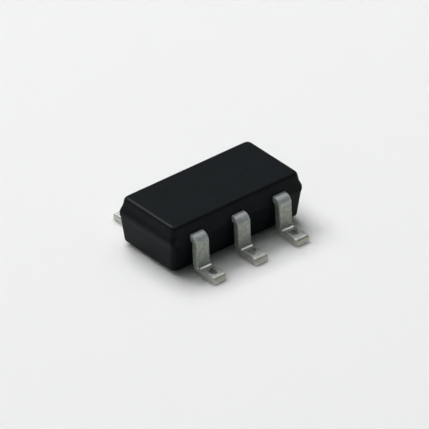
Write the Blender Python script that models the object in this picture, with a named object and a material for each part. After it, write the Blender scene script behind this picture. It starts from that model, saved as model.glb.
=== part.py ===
"""Six-lead surface-mount MOSFET in a small moulded package, at rest on its six solder feet.

Z = 0 is the seating plane, X runs along the body, and the leads leave its two long sides.
A stamped and bent copper leadframe carries the silicon die. Bond wires run from the die to the
gate lead and the source lead, and one moulding of black epoxy locks all of it together.
"""

import math

import bmesh
import bpy
from mathutils import Vector

# Moulding
body_length = 0.003  # along X, at the parting line
body_width = 0.00150  # along Y, at the parting line
body_top = 0.00097  # above the seating plane
standoff = 0.00005  # air under the moulding
upper_draft = math.radians(9)  # lean of the walls above the parting line
lower_draft = math.radians(6)  # and below it
upright_corner_radius = 0.00009
top_fillet = 0.00006
bottom_fillet = 0.00006
ridge_reach = 0.000006  # how far the ridge on the short ends stands out past the parting line
ridge_crest = 0.00004  # height of its outermost band
ridge_slope = 0.0001  # height of the slope above that band and of the one below it
ridge_corner_radius = 0.00006

# Leads
lead_pitch = 0.00095
lead_width = 0.00029
sheet_thickness = 0.00013  # of the whole stamped leadframe
lead_top = 0.000735  # top of the leads where they leave the moulding
lead_span = 0.00278  # from toe to toe across the package
shoulder = 0.000005  # flat stretch between the wall and the upper bend
shoulder_bend_radius = 0.00003  # inside radius, under the shoulder
heel_bend_radius = 0.000085  # inside radius, between shin and foot
shin_lean = math.radians(3)  # from upright, outwards
rolled_edge = 0.000025  # radius of the sheet's upper edges
burr_edge = 0.00001  # radius of its lower edges
toe_roll = 0.00004  # how far the toe's upper edge is rolled down where it was cut
toe_draw = 0.000015  # how far the cut draws in the toe's sides

# Die pad, die and what holds it
pad_left = -0.00128  # left edge, on X
pad_right = 0.00050
pad_side_cover = 0.000185  # moulding between the pad's long edges and the walls
pad_corner_radius = 0.00006
downset = 0.00018  # how far the pad lies below the leads
downset_slope = math.radians(60)
downset_bend_radius = 0.00005  # inside radius at the top of the slope
inner_flat = 0.00009  # level stretch of a drain lead inside the wall
die_length = 0.00124
die_thickness = 0.00014
die_centre_x = -0.00040
saw_corner = 0.00001  # upright corners of the sawn die
attach_thickness = 0.00002
attach_spread = 0.00002  # how far the solder spreads past the die
attach_margin = 0.00002  # from the solder to the slope of the drain leads

# Posts that the bond wires land on
post_width = 0.00052
post_neck = 0.00014  # from the wall inwards to where the post widens
post_flare = 0.00007  # length over which it widens
gate_post_length = 0.00034
source_post_length = 0.00052

# Bond wires
source_wire_diameter = 0.00005
gate_wire_diameter = 0.00003
source_wire_pitch = 0.00013
source_wire_count = 4
ball_ratio = 2.1  # ball's diameter over the wire's
ball_height_ratio = 0.5  # ball's height over the wire's diameter
neck_ratio = 0.25  # wire standing straight on the ball, over its diameter
ball_form = ((0.0, 0.82), (0.3, 1.0), (0.65, 1.0), (1.0, 0.7))  # (height, width) as shares of the ball's
stitch_form = ((0.6, 1.2, 0.65), (1.2, 1.45, 0.42), (2.0, 1.4, 0.36), (2.4, 1.0, 0.28))
loop_rise = 0.00016
loop_reach = 0.55  # share of the span that the loop's far handle stands back from the stitch
loop_slump = 0.85  # height of that handle over the height of the near one
wire_start_inset = 0.00014  # from the die's right edge to the source wires' balls
wire_end_inset = 0.00012  # from a post's left edge to the stitches
gate_pad_inset = 0.00011  # from the die's long edge and its right edge to the gate wire's ball
source_wire_edge = 0.00008  # from the die's long edge to the first source wire's ball
source_fan = 0.00020  # how far the source wires move sideways on their way to the post

# Clearances: pieces that touch in the real package lie this far apart
mould_clearance = 0.000005
seat_clearance = 0.000002
cavity_overrun = 0.00008  # how far the cutters for the leads run out past the walls

# Facets
corner_steps = 6
fillet_steps = 4
edge_steps = 3
bend_steps = 8
wire_sides = 8
wire_steps = 14
sharp_angle = math.radians(32)

# Places that follow from the sizes above
lead_level = lead_top - sheet_thickness / 2
sheet_bottom = lead_top - sheet_thickness
parting_level = sheet_bottom
wall = body_width / 2
toe = lead_span / 2
pad_top = lead_top - downset
pad_level = pad_top - sheet_thickness / 2
pad_width = 2 * (wall - pad_side_cover)
slope_radius = downset_bend_radius + sheet_thickness / 2
slope_top_out = wall - inner_flat - slope_radius * math.sin(downset_slope)
slope_top_z = lead_level - slope_radius * (1 - math.cos(downset_slope))
slope_foot_out = slope_top_out - (slope_top_z - pad_level) / math.tan(downset_slope)
slope_overhang = sheet_thickness / 2 * math.tan(downset_slope / 2)  # its upper face meets the pad here
die_width = 2 * (slope_foot_out - slope_overhang - attach_margin - attach_spread)
die_bottom = pad_top + attach_thickness + 2 * seat_clearance
die_top = die_bottom + die_thickness
post_top = lead_top
post_left = lead_pitch - post_width / 2
die_right = die_centre_x + die_length / 2


def clear_scene():
    for old in list(bpy.data.objects):
        bpy.data.objects.remove(old, do_unlink=True)


def make_material(name, color, roughness, metallic):
    material = bpy.data.materials.new(name)
    material.use_nodes = True
    shader = material.node_tree.nodes["Principled BSDF"]
    shader.inputs["Base Color"].default_value = (*color, 1.0)
    shader.inputs["Roughness"].default_value = roughness
    shader.inputs["Metallic"].default_value = metallic
    return material


def rounded_rectangle(half_x, half_y, low_radius, high_radius, steps):
    """Anticlockwise outline about the origin; the radii are those of its lower and upper corners."""
    corners = (
        (half_x, -half_y, low_radius, -90),
        (half_x, half_y, high_radius, 0),
        (-half_x, half_y, high_radius, 90),
        (-half_x, -half_y, low_radius, 180),
    )
    points = []
    for x, y, radius, start in corners:
        centre_x = x - math.copysign(radius, x)
        centre_y = y - math.copysign(radius, y)
        for step in range(steps + 1):
            angle = math.radians(start + 90 * step / steps)
            points.append((centre_x + radius * math.cos(angle), centre_y + radius * math.sin(angle)))
    return points


def loft(rings):
    """A mesh skinned over closed rings of equal length, with a flat cap on each end."""
    bm = bmesh.new()
    loops = [[bm.verts.new(point) for point in ring] for ring in rings]
    for low, high in zip(loops, loops[1:]):
        for i in range(len(low)):
            j = (i + 1) % len(low)
            bm.faces.new((low[i], low[j], high[j], high[i]))
    bm.faces.new(reversed(loops[0]))
    bm.faces.new(loops[-1])
    bmesh.ops.recalc_face_normals(bm, faces=bm.faces)
    return bm


def add_object(name, bm, material=None):
    mesh = bpy.data.meshes.new(name)
    bm.to_mesh(mesh)
    bm.free()
    mesh.shade_smooth()
    mesh.set_sharp_from_angle(angle=sharp_angle)
    if material:
        mesh.materials.append(material)
    piece = bpy.data.objects.new(name, mesh)
    bpy.context.scene.collection.objects.link(piece)
    return piece


def add_cutter(name, bm, group):
    cutter = add_object(name, bm)
    cutter.hide_render = True
    cutter.display_type = "WIRE"
    bpy.context.scene.collection.objects.unlink(cutter)
    group.objects.link(cutter)
    return cutter


def add_helper_group(name):
    group = bpy.data.collections.new(name)
    bpy.context.scene.collection.children.link(group)
    return group


def combine(piece, operation, group):
    boolean = piece.modifiers.new(group.name, "BOOLEAN")
    boolean.operation = operation
    boolean.solver = "EXACT"
    boolean.operand_type = "COLLECTION"
    boolean.collection = group


def plate(left, right, width, bottom, top, radius, steps, grow=0.0, spread=0.0):
    """Flat plate with rounded upright corners; spread widens its foot on every side."""
    centre = (left + right) / 2
    half_x = (right - left) / 2 + grow
    half_y = width / 2 + grow
    rings = []
    for z, wider in ((bottom - grow, spread), (top + grow, 0.0)):
        outline = rounded_rectangle(half_x + wider, half_y + wider, radius, radius, steps)
        rings.append([Vector((centre + x, y, z)) for x, y in outline])
    return loft(rings)


def wall_inset(z):
    """How far the drafted walls stand back at this height from their outline at the parting line."""
    if z < parting_level:
        return (parting_level - z) * math.tan(lower_draft)
    return (z - parting_level) * math.tan(upper_draft)


def moulding():
    """Both mould halves with their draft, their fillets and the ridge that their joint leaves."""
    half_x = body_length / 2
    half_y = body_width / 2
    rings = []

    def add_ring(z, inset, rise=0.0):
        """Outline at one height; rise runs from 0 on the plain wall to 1 on the crest of the ridge."""
        end_inset = inset - rise * (inset + ridge_reach)
        radius = upright_corner_radius + rise * (ridge_corner_radius - upright_corner_radius)
        outline = rounded_rectangle(half_x - end_inset, half_y - inset, radius, radius, corner_steps)
        rings.append([Vector((x, y, z)) for x, y in outline])

    def add_fillet(radius, edge_z, draft, up):
        """Rounds the edge between a drafted wall and the flat top or bottom."""
        turn = math.pi / 2 - draft
        setback = radius * math.tan(turn / 2)
        centre_z = edge_z - up * radius
        centre_inset = wall_inset(edge_z) + setback
        angles = [draft + turn * step / fillet_steps for step in range(fillet_steps + 1)]
        for angle in angles if up > 0 else reversed(angles):
            z = centre_z + up * radius * math.sin(angle)
            add_ring(z, centre_inset - radius * math.cos(angle))

    crest_bottom = lead_level - ridge_crest / 2
    crest_top = lead_level + ridge_crest / 2
    add_fillet(bottom_fillet, standoff, lower_draft, -1)
    for z in (crest_bottom - ridge_slope, parting_level, crest_bottom, crest_top, crest_top + ridge_slope):
        distance = max(crest_bottom - z, z - crest_top, 0.0)
        add_ring(z, wall_inset(z), 1.0 - distance / ridge_slope)
    add_fillet(top_fillet, body_top, upper_draft, 1)
    return loft(rings)


def follow_bend(start, turn, radius):
    """Stations (out, z, tilt) round a bend; a positive turn bends downwards."""
    out, z, tilt = start
    side = math.copysign(1.0, turn)
    centre_out = out - side * radius * math.sin(tilt)
    centre_z = z - side * radius * math.cos(tilt)
    stations = []
    for step in range(1, bend_steps + 1):
        angle = tilt + turn * step / bend_steps
        stations.append(
            (
                centre_out + side * radius * math.sin(angle),
                centre_z + side * radius * math.cos(angle),
                angle,
            )
        )
    return stations


def follow_straight(start, length):
    out, z, tilt = start
    return (out + length * math.cos(tilt), z - length * math.sin(tilt), tilt)


def gull_wing():
    """Stations along the middle of the sheet, from the wall over the two bends to the toe."""
    shoulder_radius = shoulder_bend_radius + sheet_thickness / 2
    heel_radius = heel_bend_radius + sheet_thickness / 2
    turn = math.pi / 2 - shin_lean
    drop = lead_level - sheet_thickness / 2
    bends_drop = (shoulder_radius + heel_radius) * (1 - math.cos(turn))
    shin = (drop - bends_drop) / math.sin(turn)
    stations = [(wall + shoulder, lead_level, 0.0)]
    stations += follow_bend(stations[-1], turn, shoulder_radius)
    stations.append(follow_straight(stations[-1], shin))
    stations += follow_bend(stations[-1], -turn, heel_radius)
    stations.append((toe - toe_roll, sheet_thickness / 2, 0.0))
    return stations


def downset_rise(grow):
    """Stations of a drain lead from inside the pad's edge up to the level of the leads."""
    bend_start = (slope_top_out, slope_top_z, -downset_slope)
    foot = (slope_foot_out, pad_level, -downset_slope)
    stations = [follow_straight(foot, -grow), bend_start]
    stations += follow_bend(bend_start, downset_slope, slope_radius)
    return stations


def strip_ring(station, lead_x, side, width, lowered=0.0, drawn_in=0.0, grow=0.0):
    """The sheet's section at a station; the toe's has its top lowered and its sides drawn in."""
    out, z, tilt = station
    half_width = width / 2 - drawn_in + grow
    half_height = (sheet_thickness - lowered) / 2 + grow
    low = -lowered / 2
    section = rounded_rectangle(
        half_width, half_height, burr_edge + grow, rolled_edge + grow, edge_steps
    )
    ring = []
    for across, height in section:
        height += low
        ring.append(
            Vector(
                (
                    lead_x + across,
                    side * (out + height * math.sin(tilt)),
                    z + height * math.cos(tilt),
                )
            )
        )
    return ring


def formed_lead(inner, lead_x, side):
    """inner holds (station, width) pairs inside the moulding; the gull wing follows them."""
    rings = [strip_ring(station, lead_x, side, width) for station, width in inner]
    wing = gull_wing()
    rings += [strip_ring(station, lead_x, side, lead_width) for station in wing]
    for step in range(1, edge_steps + 1):
        angle = math.pi / 2 * step / edge_steps
        station = follow_straight(wing[-1], toe_roll * math.sin(angle))
        lowered = toe_roll * (1 - math.cos(angle))
        drawn_in = toe_draw * (1 - math.cos(angle))
        rings.append(strip_ring(station, lead_x, side, lead_width, lowered, drawn_in))
    return loft(rings)


def lead_cavity(inner, lead_x, side):
    """The room that a lead takes in the moulding, run straight out past the wall."""
    rings = [
        strip_ring(station, lead_x, side, width, grow=mould_clearance) for station, width in inner
    ]
    outside = (wall + cavity_overrun, lead_level, 0.0)
    rings.append(strip_ring(outside, lead_x, side, lead_width, grow=mould_clearance))
    return loft(rings)


def drain_inner(grow=0.0):
    return [(station, lead_width) for station in downset_rise(grow)]


def post_inner(length, grow=0.0):
    """A wide post for the wires, narrowed to the lead before the wall."""
    neck = wall - post_neck
    return [
        ((neck - length - grow, lead_level, 0.0), post_width),
        ((neck - post_flare + grow, lead_level, 0.0), post_width),
        ((neck + grow, lead_level, 0.0), lead_width),
    ]


def wire_path(start, end, diameter, grow):
    """(point, tangent, half width, half height) along a wire from its ball over the loop to its stitch."""
    radius = diameter / 2 + grow
    ball = ball_ratio * diameter / 2 + grow
    ball_height = ball_height_ratio * diameter
    up = Vector((0, 0, 1))
    bottom = start + up * (seat_clearance - grow)
    neck = start + up * (seat_clearance + ball_height + neck_ratio * diameter)
    stations = []
    for height, size in ball_form:
        point = bottom + up * height * (ball_height + 2 * grow)
        stations.append((point, up, ball * size, ball * size))
    landing = end + up * (seat_clearance + diameter / 2)
    flat = (landing - neck) * Vector((1, 1, 0))
    far_handle = landing - loop_reach * flat + up * loop_slump * loop_rise
    handles = (neck + up * loop_rise, far_handle)
    for step in range(wire_steps + 1):
        t = step / wire_steps
        s = 1 - t
        point = s**3 * neck + 3 * s**2 * t * handles[0] + 3 * s * t**2 * handles[1] + t**3 * landing
        tangent = (
            s**2 * (handles[0] - neck)
            + 2 * s * t * (handles[1] - handles[0])
            + t**2 * (landing - handles[1])
        )
        stations.append((point, tangent.normalized(), radius, radius))
    heading = flat.normalized()
    for reach, spread, squash in stitch_form:
        height = squash * diameter / 2
        point = end + heading * reach * diameter + up * (seat_clearance + height)
        stations.append((point, heading, radius * spread, height + grow))
    last_point, _, half_width, half_height = stations[-1]
    stations.append((last_point + heading * grow, heading, half_width, half_height))
    return stations


def bond_wire(start, end, diameter, grow=0.0):
    across = Vector((0, 0, 1)).cross(end - start).normalized()
    rings = []
    for point, tangent, half_width, half_height in wire_path(start, end, diameter, grow):
        lift = tangent.cross(across)
        ring = []
        for side in range(wire_sides):
            angle = 2 * math.pi * (side + 0.5) / wire_sides
            offset = across * half_width * math.cos(angle) + lift * half_height * math.sin(angle)
            ring.append(point + offset)
        rings.append(ring)
    return loft(rings)


def wire_ends():
    """(name, start on the die, end on a post, diameter) for each bond wire."""
    stitch_x = post_left + wire_end_inset
    wires = [
        (
            "gate_bond_wire",
            Vector((die_right - gate_pad_inset, gate_pad_inset - die_width / 2, die_top)),
            Vector((stitch_x, gate_pad_inset - die_width / 2 - gate_wire_diameter, post_top)),
            gate_wire_diameter,
        )
    ]
    start_x = die_right - wire_start_inset
    for index in range(source_wire_count):
        y = die_width / 2 - source_wire_edge - source_wire_pitch * index
        wires.append(
            (
                f"source_bond_wire_{index + 1}",
                Vector((start_x, y, die_top)),
                Vector((stitch_x, y + source_fan, post_top)),
                source_wire_diameter,
            )
        )
    return wires


clear_scene()

black_epoxy = make_material("black_epoxy", (0.014, 0.014, 0.015), 0.55, 0.0)
tinned_copper = make_material("tinned_copper", (0.62, 0.62, 0.60), 0.35, 1.0)
silicon = make_material("silicon", (0.10, 0.10, 0.12), 0.2, 0.6)
solder = make_material("solder", (0.45, 0.45, 0.46), 0.45, 1.0)
gold = make_material("gold", (0.83, 0.62, 0.25), 0.25, 1.0)

cavity = add_helper_group("cavity")
drain_parts = add_helper_group("drain_parts")

# Die pad with its four drain leads, one piece of sheet
pad_size = (pad_left, pad_right, pad_width, pad_top - sheet_thickness, pad_top)
pad_form = {"radius": pad_corner_radius, "steps": corner_steps}
drain_leadframe = add_object("drain_leadframe", plate(*pad_size, **pad_form), tinned_copper)
add_cutter("pad_cavity", plate(*pad_size, **pad_form, grow=mould_clearance), cavity)
for column in (-1, 0):
    for side in (-1, 1):
        lead_x = column * lead_pitch
        label = f"drain_lead_{column + 2}_{'near' if side < 0 else 'far'}"
        add_cutter(label, formed_lead(drain_inner(), lead_x, side), drain_parts)
        room = lead_cavity(drain_inner(mould_clearance), lead_x, side)
        add_cutter(label + "_cavity", room, cavity)
combine(drain_leadframe, "UNION", drain_parts)

# Gate and source leads, each with its post
for name, side, length in (
    ("gate_lead", -1, gate_post_length),
    ("source_lead", 1, source_post_length),
):
    add_object(name, formed_lead(post_inner(length), lead_pitch, side), tinned_copper)
    room = lead_cavity(post_inner(length, mould_clearance), lead_pitch, side)
    add_cutter(name + "_cavity", room, cavity)

# Die on its solder
die_left = die_right - die_length
attach_bottom = pad_top + seat_clearance
attach_size = (die_left, die_right, die_width, attach_bottom, attach_bottom + attach_thickness)
attach_form = {"radius": attach_spread, "spread": attach_spread, "steps": edge_steps}
add_object("die_attach", plate(*attach_size, **attach_form), solder)
add_cutter("attach_cavity", plate(*attach_size, **attach_form, grow=mould_clearance), cavity)
die_size = (die_left, die_right, die_width, die_bottom, die_top)
die_form = {"radius": saw_corner, "steps": edge_steps}
add_object("silicon_die", plate(*die_size, **die_form), silicon)
add_cutter("die_cavity", plate(*die_size, **die_form, grow=mould_clearance), cavity)

# Bond wires
for name, start, end, diameter in wire_ends():
    add_object(name, bond_wire(start, end, diameter), gold)
    add_cutter(name + "_cavity", bond_wire(start, end, diameter, mould_clearance), cavity)

# Moulding round all of it
mould_body = add_object("mould_body", moulding(), black_epoxy)
combine(mould_body, "DIFFERENCE", cavity)
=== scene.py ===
"""A six-lead surface-mount transistor package on a pale studio floor.

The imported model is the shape. This file gives it its materials, its light and its camera.
All lengths are in metres, and the origin is on the board under the middle of the part.
"""
import math

import bpy
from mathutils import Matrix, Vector

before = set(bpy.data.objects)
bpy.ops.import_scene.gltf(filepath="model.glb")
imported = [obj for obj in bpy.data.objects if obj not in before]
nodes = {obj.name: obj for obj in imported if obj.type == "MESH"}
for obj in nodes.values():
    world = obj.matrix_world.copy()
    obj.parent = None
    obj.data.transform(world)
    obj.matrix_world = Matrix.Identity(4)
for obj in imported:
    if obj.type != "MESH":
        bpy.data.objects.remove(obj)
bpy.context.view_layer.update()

# The camera stands where the photograph was taken from.
camera_azimuth = math.radians(-40.156)
camera_elevation = math.radians(33.037)
camera_distance = 0.2
camera_lens = 953.6
camera_sensor = 36.0
camera_clip = (0.01, 10.0)
aim_height = 0.0005
aim_right = 0.0000629
aim_up = -0.00014

# Soft lights: azimuth and elevation in degrees, width and height in metres, and power in watts.
light_distance = 0.3
lights = {
    "key": (178.0, 52.0, 0.24, 0.13, 0.90),
    "overhead": (180.0, 76.0, 0.22, 0.12, 0.13),
    "right": (106.0, 56.0, 0.14, 0.16, 0.07),
    "left": (265.0, 60.0, 0.12, 0.12, 0.03),
}
surround_level = 0.08
surround_colour = (0.90, 1.0, 0.95, 1.0)

# Noise runs from about 0.3 to 0.7, so a colour or a roughness goes from one end of its range to
# the other between these two. The tin's mottle does so over a little less.
noise_spread = (0.3, 0.7)
mottle_spread = (0.32, 0.68)

# Moulding: colours, and the size of its grain, clouds and filler in metres.
epoxy_dark = (0.0066, 0.0086, 0.0102)
epoxy_light = (0.0094, 0.0118, 0.0136)
epoxy_speck = (0.015, 0.0165, 0.018)
epoxy_grain = 0.000022
epoxy_cloud = 0.00035
epoxy_grain_share = 0.6
epoxy_filler = 0.00003
epoxy_filler_from = 0.68
epoxy_filler_to = 0.78
epoxy_roughness = (0.26, 0.36)
epoxy_specular = 0.048
epoxy_bump = 0.0000004

# Leads: dull tin on the shins, lighter at the shoulder as a painted highlight, sheared brighter
# along the sides of the foot, and dark across the foot's middle as a painted reflection of the
# black moulding. The heel's bend is polished, and its bright colour is a painted highlight; a
# patch of the foot, where the forming tool pressed, is polished.
tin_dull_dark = (0.27, 0.295, 0.25)
tin_dull_light = (0.49, 0.52, 0.47)
tin_shoulder_highlight_dark = (0.60, 0.64, 0.64)
tin_shoulder_highlight_light = (0.72, 0.76, 0.77)
tin_foot_dark = (0.31, 0.328, 0.30)
tin_foot_light = (0.44, 0.46, 0.43)
tin_painted_reflection_dark = (0.115, 0.123, 0.113)
tin_painted_reflection_light = (0.18, 0.19, 0.175)
tin_pressed_dark = (0.40, 0.42, 0.40)
tin_pressed_light = (0.54, 0.56, 0.54)
tin_heel_highlight = (0.84, 0.87, 0.83)
tin_sheared = (0.62, 0.62, 0.58)
tin_mottle = 0.00006
tin_crystal = 0.000012
tin_streak = 0.00008
tin_wobble = 0.00006
tin_dull_roughness = (0.42, 0.56)
tin_foot_roughness = (0.44, 0.58)
tin_pressed_roughness = (0.18, 0.30)
tin_dull_metallic = 0.5
tin_foot_metallic = 0.58
tin_pressed_metallic = 0.88
tin_bump = 0.0000006
foot_bump_share = 0.15

# Where these lie: the shoulder's painted highlight, the foot and the heel by height above the
# board, and the foot's painted reflection and the pressed patch by distance from the part's long
# middle line. The pressed patch is centred on each lead, and the leads stand one pitch apart.
lead_pitch = 0.00095
shoulder_highlight_from = 0.00056
shoulder_highlight_to = 0.00071
foot_from = 0.00022
foot_to = 0.00016
heel_low = 0.000136
heel_high = 0.00016
heel_soft = 0.00001
painted_reflection_near = 0.00119
painted_reflection_far = 0.00128
painted_reflection_soft = 0.00005
press_half_width = 0.000048
press_near = 0.00109
press_far = 0.00122
press_soft = 0.00009
press_wobble = 0.0002

# Where a surface counts as facing straight along an axis: its normal's share on that axis.
square_from = 0.75
square_to = 0.95

# The toe's cut face: copper showing above a smear of tin, whose colour is also painted lighter, as
# painted light on the toe's shaded lower edge.
cut_copper = (0.53, 0.52, 0.43)
cut_smear_and_painted_light = (0.88, 0.88, 0.85)
toe_face_from = 0.001365
toe_face_to = 0.00138
cut_copper_low = 0.00005
cut_copper_high = 0.00011
cut_copper_soft = 0.00001

# Inside the moulding, short of plating_from from the middle line, the leadframe is bare copper,
# with silver on the posts, where the wires land.
copper_dark = (0.62, 0.30, 0.19)
copper_light = (0.76, 0.42, 0.29)
silver = (0.82, 0.80, 0.76)
plating_from = 0.00072
plating_soft = 0.000004
silver_from = 0.0006
silver_soft = 0.00002

# Inside the moulding: the sawn silicon, the metal on its face, the solder under it and the wires.
silicon_dark = (0.085, 0.09, 0.105)
silicon_light = (0.13, 0.135, 0.15)
silicon_roughness = (0.28, 0.42)
saw_pitch = 0.000006
aluminium_dark = (0.66, 0.67, 0.68)
aluminium_light = (0.80, 0.81, 0.82)
aluminium_roughness = (0.30, 0.42)
aluminium_grain = 0.000008
glassy_edge = (0.19, 0.21, 0.15)
face_from = 0.6
face_to = 0.9
street = 0.00003
gate_pad_half = 0.00008
gate_pad_gap = 0.00002
gate_pad_inset = 0.00011
face_soft = 0.000002
solder_dark = (0.36, 0.365, 0.37)
solder_light = (0.52, 0.525, 0.53)
solder_roughness = (0.35, 0.5)
solder_grain = 0.00003
gold_dark = (0.83, 0.56, 0.22)
gold_light = (0.95, 0.70, 0.32)
gold_roughness = (0.18, 0.30)
gold_grain = 0.00001
inner_bump = 0.0000003

# The floor: white card, in which light spreads a fraction of a millimetre.
floor_size = 0.6
floor_colour = (0.871, 0.871, 0.871)
floor_roughness = 0.9
floor_scatter = 0.00025


def direction(azimuth, elevation):
    """The unit vector towards this azimuth and elevation; azimuth 0 is -Y and 90 degrees is +X."""
    flat = math.cos(elevation)
    return Vector((math.sin(azimuth) * flat, -math.cos(azimuth) * flat, math.sin(elevation)))


def look_at(obj, place, target):
    """Puts obj at place, with its own -Z axis towards target and its Y axis up."""
    obj.location = place
    obj.rotation_mode = "QUATERNION"
    obj.rotation_quaternion = (target - place).to_track_quat("-Z", "Y")


def add_camera():
    """The camera, aimed so that the part stands in the frame where the photograph has it."""
    back = direction(camera_azimuth, camera_elevation)
    right = Vector((math.cos(camera_azimuth), math.sin(camera_azimuth), 0.0))
    up = back.cross(right)
    target = Vector((0.0, 0.0, aim_height)) + right * aim_right + up * aim_up
    data = bpy.data.cameras.new("camera")
    data.lens = camera_lens
    data.sensor_width = camera_sensor
    data.clip_start, data.clip_end = camera_clip
    camera = bpy.data.objects.new("camera", data)
    bpy.context.scene.collection.objects.link(camera)
    look_at(camera, target + back * camera_distance, target)
    bpy.context.scene.camera = camera


def add_light(name, azimuth, elevation, distance, size, power):
    """A rectangular soft light that points at the part."""
    data = bpy.data.lights.new(name, "AREA")
    data.shape = "RECTANGLE"
    data.size = size[0]
    data.size_y = size[1]
    data.energy = power
    light = bpy.data.objects.new(name, data)
    bpy.context.scene.collection.objects.link(light)
    look_at(light, direction(azimuth, elevation) * distance, Vector((0.0, 0.0, 0.0)))


class Shader:
    """A node material that is built up one node at a time."""

    def __init__(self, name):
        self.material = bpy.data.materials.new(name)
        self.material.use_nodes = True
        self.tree = self.material.node_tree
        self.surface = self.tree.nodes["Principled BSDF"]

    def node(self, kind, values=None, links=None, **settings):
        """Adds a node, with its settings, its own socket values and its links."""
        made = self.tree.nodes.new(kind)
        for key, value in settings.items():
            setattr(made, key, value)
        for socket, value in (values or {}).items():
            made.inputs[socket].default_value = value
        for socket, source in (links or {}).items():
            self.tree.links.new(source, made.inputs[socket])
        return made

    def set(self, **values):
        """Sets the shader's own sockets."""
        for socket, value in values.items():
            self.surface.inputs[socket.replace("_", " ")].default_value = value

    def link(self, source, socket):
        """Links a node's output to the shader's socket of that name."""
        self.tree.links.new(source, self.surface.inputs[socket])

    def fill(self, socket, source):
        """Gives a socket a link, a number or a colour, whichever source is."""
        if isinstance(source, bpy.types.NodeSocket):
            self.tree.links.new(source, socket)
        elif isinstance(source, tuple):
            socket.default_value = (*source, 1.0)
        else:
            socket.default_value = source

    def place(self):
        """Where the surface is, in metres from the part's origin."""
        return self.node("ShaderNodeTexCoord").outputs["Object"]

    def normal(self, axis):
        """The surface normal's share on this axis, -1 to 1."""
        geometry = self.node("ShaderNodeNewGeometry")
        split = self.node("ShaderNodeSeparateXYZ", links={"Vector": geometry.outputs["Normal"]})
        return split.outputs[axis]

    def stretched(self, place, scale):
        """The same place with its axes scaled, which draws a texture out along the small ones."""
        made = self.node("ShaderNodeVectorMath", links={0: place}, operation="MULTIPLY")
        made.inputs[1].default_value = scale
        return made.outputs["Vector"]

    def noise(self, place, size, detail=2.0, roughness=0.5):
        """Noise whose blotches are about this size, in metres."""
        values = {"Scale": 1.0 / size, "Detail": detail, "Roughness": roughness}
        return self.node("ShaderNodeTexNoise", values, {"Vector": place}).outputs["Fac"]

    def ramp(self, source, dark, light, spread=noise_spread):
        """Goes from the dark colour to the light one while the source goes over its spread."""
        made = self.node("ShaderNodeValToRGB", links={"Fac": source})
        for element, place, colour in zip(made.color_ramp.elements, spread, (dark, light)):
            element.position = place
            element.color = (*colour, 1.0)
        return made.outputs["Color"]

    def mix_colours(self, factor, first, second):
        """A colour that goes from first to second with the factor."""
        made = self.node("ShaderNodeMix", data_type="RGBA")
        self.fill(made.inputs["Factor"], factor)
        self.fill(made.inputs["A"], first)
        self.fill(made.inputs["B"], second)
        return made.outputs["Result"]

    def blend(self, factor, first, second):
        """A number that goes from first to second with the factor."""
        made = self.node("ShaderNodeMix", data_type="FLOAT")
        self.fill(made.inputs["Factor"], factor)
        self.fill(made.inputs["A"], first)
        self.fill(made.inputs["B"], second)
        return made.outputs["Result"]

    def step(self, source, start, end):
        """0 at start and 1 at end, smooth between; start may lie above end."""
        smooth = {"interpolation_type": "SMOOTHSTEP"}
        made = self.node("ShaderNodeMapRange", links={"Value": source}, **smooth)
        made.inputs["From Min"].default_value = start
        made.inputs["From Max"].default_value = end
        return made.outputs["Result"]

    def math(self, operation, *sources):
        """The result of a Math node; each source is a link or a number."""
        made = self.node("ShaderNodeMath", operation=operation)
        for socket, source in zip(made.inputs, sources):
            self.fill(socket, source)
        return made.outputs[0]

    def band(self, source, low, high, soft):
        """1 between low and high, 0 outside, with soft ends."""
        rise = self.step(source, low - soft, low)
        fall = self.step(source, high + soft, high)
        return self.math("MULTIPLY", rise, fall)

    def wobble(self, source, noise, amount):
        """A length made uneven by noise."""
        return self.math("MULTIPLY_ADD", noise, amount, self.math("SUBTRACT", source, amount / 2))

    def span(self, source, limits):
        """Spreads a noise over a range of numbers."""
        made = self.node("ShaderNodeMapRange", links={"Value": source})
        made.inputs["From Min"].default_value = noise_spread[0]
        made.inputs["From Max"].default_value = noise_spread[1]
        made.inputs["To Min"].default_value = limits[0]
        made.inputs["To Max"].default_value = limits[1]
        return made.outputs["Result"]

    def bump(self, height, depth):
        """Raises the surface by noise of this depth, in metres."""
        values = {"Strength": 1.0, "Distance": depth}
        made = self.node("ShaderNodeBump", values, {"Height": height})
        self.link(made.outputs["Normal"], "Normal")


def add_floor():
    """A plain pale floor under the part, which lets a little light through into its shadows."""
    half = floor_size / 2
    mesh = bpy.data.meshes.new("floor")
    corners = [(-half, -half, 0.0), (half, -half, 0.0), (half, half, 0.0), (-half, half, 0.0)]
    mesh.from_pydata(corners, [], [(0, 1, 2, 3)])
    floor = bpy.data.objects.new("floor", mesh)
    bpy.context.scene.collection.objects.link(floor)
    shader = Shader("floor_paint")
    shader.set(Base_Color=(*floor_colour, 1.0), Roughness=floor_roughness, Specular_IOR_Level=0.0)
    shader.surface.subsurface_method = "BURLEY"
    shader.set(Subsurface_Weight=1.0, Subsurface_Scale=floor_scatter)
    shader.set(Subsurface_Radius=(1.0, 1.0, 1.0))
    mesh.materials.append(shader.material)


def moulding_material():
    """Black filled epoxy as it leaves a fine spark-eroded mould, with grains of filler showing."""
    shader = Shader("moulding_epoxy")
    place = shader.place()
    grain = shader.noise(place, epoxy_grain, detail=4.0, roughness=0.65)
    cloud = shader.noise(place, epoxy_cloud, detail=2.0)
    filler = shader.noise(place, epoxy_filler, detail=0.0)
    tone = shader.ramp(shader.blend(epoxy_grain_share, cloud, grain), epoxy_dark, epoxy_light)
    is_speck = shader.step(filler, epoxy_filler_from, epoxy_filler_to)
    shader.link(shader.mix_colours(is_speck, tone, epoxy_speck), "Base Color")
    shader.link(shader.span(grain, epoxy_roughness), "Roughness")
    shader.set(Specular_IOR_Level=epoxy_specular)
    shader.bump(grain, epoxy_bump)
    return shader.material


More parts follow.
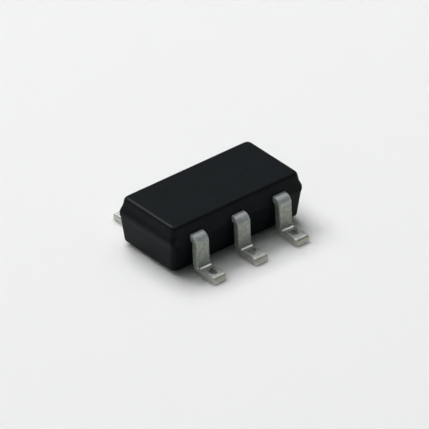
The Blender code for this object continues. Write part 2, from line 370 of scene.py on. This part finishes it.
def lead_material():
    """Sheet copper: plated with tin outside the moulding, bare inside, silver where wires land."""
    shader = Shader("plated_copper")
    place = shader.place()
    axes = shader.node("ShaderNodeSeparateXYZ", links={"Vector": place})
    out = shader.math("ABSOLUTE", axes.outputs["Y"])
    height = axes.outputs["Z"]
    across = shader.math("WRAP", axes.outputs["X"], lead_pitch / 2, -lead_pitch / 2)
    mottle = shader.noise(place, tin_mottle, detail=3.0, roughness=0.6)
    crystal = shader.noise(place, tin_crystal, detail=2.0)
    streak = shader.noise(shader.stretched(place, (1.0, 0.25, 0.25)), tin_streak, detail=2.0)
    wavy_out = shader.wobble(out, mottle, tin_wobble)
    wavy_height = shader.wobble(height, mottle, tin_wobble)
    across_patch = shader.wobble(across, mottle, press_wobble)
    along_patch = shader.wobble(out, streak, press_wobble)
    faces_side = shader.math("ABSOLUTE", shader.normal("X"))
    faces_end = shader.math("ABSOLUTE", shader.normal("Y"))

    def mottled(dark, light):
        """Tin that goes between these two colours with the mottle."""
        return shader.ramp(mottle, dark, light, mottle_spread)

    # The shoulder's lighter, bluish tin is a painted highlight: the light above, reflected in its
    # top.
    is_shoulder_highlight = shader.step(wavy_height, shoulder_highlight_from, shoulder_highlight_to)
    is_foot = shader.step(wavy_height, foot_from, foot_to)
    is_heel = shader.band(height, heel_low, heel_high, heel_soft)
    # The dark band across the foot's middle is a painted reflection of the black moulding.
    is_painted_reflection = shader.band(wavy_out, painted_reflection_near, painted_reflection_far, painted_reflection_soft)
    is_pressed = shader.math(
        "MULTIPLY",
        shader.band(across_patch, -press_half_width, press_half_width, press_soft),
        shader.band(along_patch, press_near, press_far, press_soft),
    )
    is_pressed = shader.math("MULTIPLY", is_pressed, is_foot)
    is_smooth = shader.math("MAXIMUM", is_heel, is_pressed)
    is_sheared = shader.step(faces_side, square_from, square_to)
    is_toe = shader.math(
        "MULTIPLY",
        shader.step(out, toe_face_from, toe_face_to),
        shader.step(faces_end, square_from, square_to),
    )
    shows_copper = shader.band(wavy_height, cut_copper_low, cut_copper_high, cut_copper_soft)

    shin = mottled(tin_dull_dark, tin_dull_light)
    shoulder = mottled(tin_shoulder_highlight_dark, tin_shoulder_highlight_light)
    foot = mottled(tin_foot_dark, tin_foot_light)
    painted_reflection = mottled(tin_painted_reflection_dark, tin_painted_reflection_light)
    pressed = shader.ramp(streak, tin_pressed_dark, tin_pressed_light)
    foot = shader.mix_colours(is_painted_reflection, foot, painted_reflection)
    foot = shader.mix_colours(is_sheared, foot, tin_sheared)
    tin = shader.mix_colours(is_shoulder_highlight, shin, shoulder)
    tin = shader.mix_colours(is_foot, tin, foot)
    tin = shader.mix_colours(is_pressed, tin, pressed)
    # The heel band's bright colour is a painted highlight; its smoothness, set in the roughness
    # below, is real.
    tin = shader.mix_colours(is_heel, tin, tin_heel_highlight)
    # The smear's light colour is partly painted light, lightening the toe's shaded lower edge.
    tin = shader.mix_colours(is_toe, tin, shader.mix_colours(shows_copper, cut_smear_and_painted_light, cut_copper))

    copper = shader.ramp(streak, copper_dark, copper_light)
    is_silver = shader.step(axes.outputs["X"], silver_from, silver_from + silver_soft)
    inside = shader.mix_colours(is_silver, copper, silver)
    is_outside = shader.step(out, plating_from, plating_from + plating_soft)
    shader.link(shader.mix_colours(is_outside, inside, tin), "Base Color")

    rough = shader.blend(
        is_foot,
        shader.span(mottle, tin_dull_roughness),
        shader.span(mottle, tin_foot_roughness),
    )
    rough = shader.blend(is_smooth, rough, shader.span(streak, tin_pressed_roughness))
    shader.link(rough, "Roughness")
    metallic = shader.blend(is_foot, tin_dull_metallic, tin_foot_metallic)
    metallic = shader.blend(is_smooth, metallic, tin_pressed_metallic)
    shader.link(shader.blend(is_outside, 1.0, metallic), "Metallic")
    bump_share = shader.blend(is_foot, 1.0, foot_bump_share)
    shader.bump(shader.math("MULTIPLY", crystal, bump_share), tin_bump)
    return shader.material


def silicon_material():
    """The die: sawn silicon, and on its face an aluminium field and gate pad in a glassy edge."""
    shader = Shader("sawn_silicon")
    place = shader.place()
    axes = shader.node("ShaderNodeSeparateXYZ", links={"Vector": place})
    corners = [Vector(corner) for corner in nodes["silicon_die"].bound_box]
    left = min(corner.x for corner in corners)
    right = max(corner.x for corner in corners)
    front = min(corner.y for corner in corners)
    rear = max(corner.y for corner in corners)

    def field(low_x, high_x, low_y, high_y):
        """1 inside this rectangle of the die's face."""
        return shader.math(
            "MULTIPLY",
            shader.band(axes.outputs["X"], low_x, high_x, face_soft),
            shader.band(axes.outputs["Y"], low_y, high_y, face_soft),
        )

    def square(half):
        """1 inside a square about the gate pad's middle."""
        x = right - gate_pad_inset
        y = front + gate_pad_inset
        return field(x - half, x + half, y - half, y + half)

    source_pad = field(left + street, right - street, front + street, rear - street)
    moat = square(gate_pad_half + gate_pad_gap)
    gate_pad = square(gate_pad_half)
    is_metal = shader.math("MAXIMUM", shader.math("SUBTRACT", source_pad, moat), gate_pad)
    is_face = shader.step(shader.normal("Z"), face_from, face_to)
    is_metal = shader.math("MULTIPLY", is_metal, is_face)

    grain = shader.noise(place, aluminium_grain, detail=2.0)
    saw = shader.noise(shader.stretched(place, (0.1, 0.1, 1.0)), saw_pitch, detail=1.0)
    silicon = shader.ramp(saw, silicon_dark, silicon_light)
    aluminium = shader.ramp(grain, aluminium_dark, aluminium_light)
    bare = shader.mix_colours(is_face, silicon, glassy_edge)
    shader.link(shader.mix_colours(is_metal, bare, aluminium), "Base Color")
    rough = shader.blend(
        is_metal, shader.span(saw, silicon_roughness), shader.span(grain, aluminium_roughness)
    )
    shader.link(rough, "Roughness")
    shader.link(is_metal, "Metallic")
    shader.bump(shader.blend(is_face, saw, grain), inner_bump)
    return shader.material


def plain_metal(name, grain_size, dark, light, roughness):
    """A metal with a fine grain in its colour, its roughness and its surface."""
    shader = Shader(name)
    grain = shader.noise(shader.place(), grain_size, detail=3.0, roughness=0.6)
    shader.link(shader.ramp(grain, dark, light), "Base Color")
    shader.link(shader.span(grain, roughness), "Roughness")
    shader.set(Metallic=1.0)
    shader.bump(grain, inner_bump)
    return shader.material


def dress(node, material):
    """Gives every material slot of a CAD node this material."""
    slots = nodes[node].material_slots
    for slot in slots:
        slot.material = material
    if not slots:
        nodes[node].data.materials.append(material)


dress("mould_body", moulding_material())
plated_copper = lead_material()
for lead in ("drain_leadframe", "gate_lead", "source_lead"):
    dress(lead, plated_copper)
dress("silicon_die", silicon_material())
solder = plain_metal("solder", solder_grain, solder_dark, solder_light, solder_roughness)
dress("die_attach", solder)
gold = plain_metal("gold_wire", gold_grain, gold_dark, gold_light, gold_roughness)
for node in nodes:
    if "bond_wire" in node:
        dress(node, gold)

add_camera()
add_floor()
for name, (azimuth, elevation, width, height, power) in lights.items():
    angles = math.radians(azimuth), math.radians(elevation)
    add_light(name, *angles, light_distance, (width, height), power)

world = bpy.data.worlds.new("studio")
bpy.context.scene.world = world
world.use_nodes = True
world.node_tree.nodes["Background"].inputs["Color"].default_value = surround_colour
world.node_tree.nodes["Background"].inputs["Strength"].default_value = surround_level

bpy.context.scene.view_settings.view_transform = "Standard"
